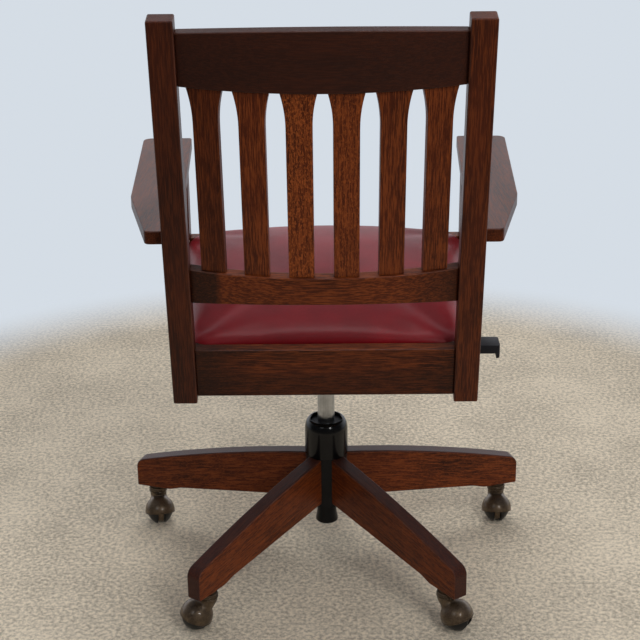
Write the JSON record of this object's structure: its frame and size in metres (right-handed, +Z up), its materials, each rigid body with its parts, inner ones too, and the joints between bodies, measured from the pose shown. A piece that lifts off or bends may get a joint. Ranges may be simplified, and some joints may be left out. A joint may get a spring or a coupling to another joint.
{
  "type": "swivel desk chair",
  "caption": "Wooden swivel desk chair with a slatted bowed back, flat arms, a padded leather seat, a gas lift column and a five-legged wooden base on ball casters.",
  "frame": {"origin": "on the floor, on the axis of the column", "axes": "+Z up, -Y the way the sitter faces, +X the sitter's left"},
  "size_m": [0.6626, 0.7309, 0.9579],
  "materials": {
    "oak_posts": "dark red-brown stained oak, satin lacquer",
    "oak_rails": "dark red-brown stained oak, satin lacquer",
    "oak_slats": "dark stained quartersawn oak with ray fleck, satin lacquer",
    "oak_arms": "dark red-brown stained oak, satin lacquer",
    "oak_legs": "dark red-brown stained oak, satin lacquer",
    "red_leather": "deep red leather, soft sheen",
    "plywood": "bare birch plywood",
    "black_steel": "black powder coat",
    "zinc_steel": "zinc plated",
    "black_plastic": "moulded, fine texture",
    "lever_steel": "blackened bar",
    "chrome": "bright chrome with fine upright lines",
    "black_gloss": "glossy black moulding",
    "black_tube": "black paint",
    "antique_brass": "antique bronze plate",
    "brass_axle": "bright riveted head",
    "wheel_black": "hard black moulding"
  },
  "bodies": {
    "base": {"hub_core": "black_tube", "hub_bell": "black_gloss", "leg_front": "oak_legs", "leg_left_front": "oak_legs", "leg_left_rear": "oak_legs", "leg_right_rear": "oak_legs", "leg_right_front": "oak_legs", "leg_studs_and_nuts": "zinc_steel", "caster_sockets": "antique_brass", "caster_stems": "zinc_steel", "column_tube": "black_tube", "guide_bush": "black_plastic"},
    "spindle": {"piston_rod": "chrome", "rod_bearing_and_clip": "zinc_steel"},
    "seat_support": {"gas_cylinder": "chrome", "tilt_housing": "black_steel", "tilt_pin": "black_steel", "tilt_spring": "zinc_steel"},
    "button": {"release_button": "black_plastic"},
    "lever": {"release_lever": "lever_steel", "lever_paddle": "black_plastic"},
    "nut": {"tension_nut": "black_steel"},
    "knob": {"tension_knob": "black_plastic"},
    "seat": {"tilt_plate": "black_steel", "plate_screws": "zinc_steel", "seat_board": "plywood", "seat_cushion": "red_leather", "rear_seat_rail": "oak_rails", "front_seat_rail": "oak_rails", "left_seat_rail": "oak_rails", "right_seat_rail": "oak_rails", "left_back_post": "oak_posts", "right_back_post": "oak_posts", "crest_rail": "oak_rails", "lower_back_rail": "oak_rails", "back_slats": "oak_slats", "left_arm": "oak_arms", "right_arm": "oak_arms", "left_arm_post": "oak_posts", "right_arm_post": "oak_posts"},
    "caster_front": {"caster_front_hood": "antique_brass", "caster_front_axle": "brass_axle"},
    "caster_front_wheel_a": {"caster_front_wheel_a": "wheel_black"},
    "caster_front_wheel_b": {"caster_front_wheel_b": "wheel_black"},
    "caster_left_front": {"caster_left_front_hood": "antique_brass", "caster_left_front_axle": "brass_axle"},
    "caster_left_front_wheel_a": {"caster_left_front_wheel_a": "wheel_black"},
    "caster_left_front_wheel_b": {"caster_left_front_wheel_b": "wheel_black"},
    "caster_left_rear": {"caster_left_rear_hood": "antique_brass", "caster_left_rear_axle": "brass_axle"},
    "caster_left_rear_wheel_a": {"caster_left_rear_wheel_a": "wheel_black"},
    "caster_left_rear_wheel_b": {"caster_left_rear_wheel_b": "wheel_black"},
    "caster_right_rear": {"caster_right_rear_hood": "antique_brass", "caster_right_rear_axle": "brass_axle"},
    "caster_right_rear_wheel_a": {"caster_right_rear_wheel_a": "wheel_black"},
    "caster_right_rear_wheel_b": {"caster_right_rear_wheel_b": "wheel_black"},
    "caster_right_front": {"caster_right_front_hood": "antique_brass", "caster_right_front_axle": "brass_axle"},
    "caster_right_front_wheel_a": {"caster_right_front_wheel_a": "wheel_black"},
    "caster_right_front_wheel_b": {"caster_right_front_wheel_b": "wheel_black"}
  },
  "joints": [
    {"name": "seat_swivel", "type": "hinge", "parent": "base", "child": "spindle", "pos_m": [0, 0, 0.05], "axis": [0, 0, 1], "continuous": true},
    {"name": "seat_lift", "type": "slide", "parent": "spindle", "child": "seat_support", "axis": [0, 0, 1], "range_m": [-0.09, 0.01]},
    {"name": "seat_tilt", "type": "hinge", "parent": "seat_support", "child": "seat", "pos_m": [0, -0.06, 0.434], "axis": [-1, 0, 0], "range_deg": [0, 12], "stiffness_Nm_per_rad": 150, "springref_deg": -17.19, "deforming": ["tilt_spring"]},
    {"name": "release_lever", "type": "hinge", "parent": "seat_support", "child": "lever", "pos_m": [-0.033, 0, 0.424], "axis": [0, 1, 0], "range_deg": [0, 4], "stiffness_Nm_per_rad": 2, "springref_deg": -5.73},
    {"name": "release_button", "type": "slide", "parent": "seat_support", "child": "button", "axis": [0, 0, 1], "range_m": [-0.004, 0]},
    {"name": "tension_knob", "type": "hinge", "parent": "seat_support", "child": "knob", "pos_m": [0, -0.095, 0.37], "axis": [0, 0, 1], "range_deg": [0, 1800]},
    {"name": "tension_nut", "type": "slide", "parent": "seat_support", "child": "nut", "axis": [0, 0, 1], "range_m": [-0.0076, 0], "deforming": ["tilt_spring"]},
    {"name": "caster_front_swivel", "type": "hinge", "parent": "base", "child": "caster_front", "pos_m": [0, -0.312, 0.05], "axis": [0, 0, 1], "continuous": true},
    {"name": "caster_front_spin_a", "type": "hinge", "parent": "caster_front", "child": "caster_front_wheel_a", "pos_m": [0.0095, -0.32845, 0.0225], "axis": [0.866, 0.5, 0], "continuous": true},
    {"name": "caster_front_spin_b", "type": "hinge", "parent": "caster_front", "child": "caster_front_wheel_b", "pos_m": [0.0095, -0.32845, 0.0225], "axis": [0.866, 0.5, 0], "continuous": true},
    {"name": "caster_left_front_swivel", "type": "hinge", "parent": "base", "child": "caster_left_front", "pos_m": [0.29673, -0.09641, 0.05], "axis": [0, 0, 1], "continuous": true},
    {"name": "caster_left_front_spin_a", "type": "hinge", "parent": "caster_left_front", "child": "caster_left_front_wheel_a", "pos_m": [0.2931, -0.07776, 0.0225], "axis": [-0.9816, -0.1908, 0], "continuous": true},
    {"name": "caster_left_front_spin_b", "type": "hinge", "parent": "caster_left_front", "child": "caster_left_front_wheel_b", "pos_m": [0.2931, -0.07776, 0.0225], "axis": [-0.9816, -0.1908, 0], "continuous": true},
    {"name": "caster_left_rear_swivel", "type": "hinge", "parent": "base", "child": "caster_left_rear", "pos_m": [0.18339, 0.25241, 0.05], "axis": [0, 0, 1], "continuous": true},
    {"name": "caster_left_rear_spin_a", "type": "hinge", "parent": "caster_left_rear", "child": "caster_left_rear_wheel_a", "pos_m": [0.2022, 0.25506, 0.0225], "axis": [-0.1392, 0.9903, 0], "continuous": true},
    {"name": "caster_left_rear_spin_b", "type": "hinge", "parent": "caster_left_rear", "child": "caster_left_rear_wheel_b", "pos_m": [0.2022, 0.25506, 0.0225], "axis": [-0.1392, 0.9903, 0], "continuous": true},
    {"name": "caster_right_rear_swivel", "type": "hinge", "parent": "base", "child": "caster_right_rear", "pos_m": [-0.18339, 0.25241, 0.05], "axis": [0, 0, 1], "continuous": true},
    {"name": "caster_right_rear_spin_a", "type": "hinge", "parent": "caster_right_rear", "child": "caster_right_rear_wheel_a", "pos_m": [-0.1995, 0.26248, 0.0225], "axis": [-0.5299, -0.848, 0], "continuous": true},
    {"name": "caster_right_rear_spin_b", "type": "hinge", "parent": "caster_right_rear", "child": "caster_right_rear_wheel_b", "pos_m": [-0.1995, 0.26248, 0.0225], "axis": [-0.5299, -0.848, 0], "continuous": true},
    {"name": "caster_right_front_swivel", "type": "hinge", "parent": "base", "child": "caster_right_front", "pos_m": [-0.29673, -0.09641, 0.05], "axis": [0, 0, 1], "continuous": true},
    {"name": "caster_right_front_spin_a", "type": "hinge", "parent": "caster_right_front", "child": "caster_right_front_wheel_a", "pos_m": [-0.29673, -0.07741, 0.0225], "axis": [-1, 0, 0], "continuous": true},
    {"name": "caster_right_front_spin_b", "type": "hinge", "parent": "caster_right_front", "child": "caster_right_front_wheel_b", "pos_m": [-0.29673, -0.07741, 0.0225], "axis": [-1, 0, 0], "continuous": true}
  ],
  "couplings": [
    {"joint": "release_button", "follows": "release_lever", "m_per_rad": -0.0345},
    {"joint": "tension_nut", "follows": "tension_knob", "m_per_rad": -0.00023873}
  ]
}
